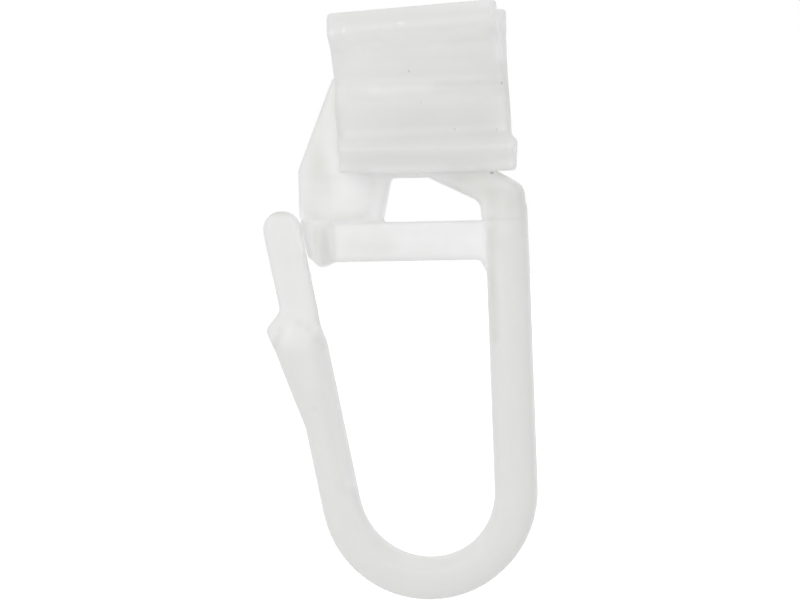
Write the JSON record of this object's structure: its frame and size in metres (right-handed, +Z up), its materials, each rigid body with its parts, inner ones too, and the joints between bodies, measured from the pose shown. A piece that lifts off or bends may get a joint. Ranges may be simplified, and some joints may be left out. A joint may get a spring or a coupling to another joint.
{
  "type": "curtain glider",
  "caption": "One-piece plastic curtain glider: an open-topped rail head with stepped sides over a hook whose sprung arm clips past a small ridge on a crossbar.",
  "frame": {"origin": "halfway along the rail head, on its middle plane, level with the undersides of the two lower lips that run in the rail", "axes": "+X along the rail, from the hook's mouth towards its rod; +Y across the rail, away from the side with the tongue; +Z up, from the hook to the head"},
  "size_m": [0.0168, 0.0092, 0.0372],
  "materials": {
    "white_plastic": "satin, slightly translucent"
  },
  "bodies": {
    "root": {"glider": "white_plastic"}
  },
  "joints": []
}
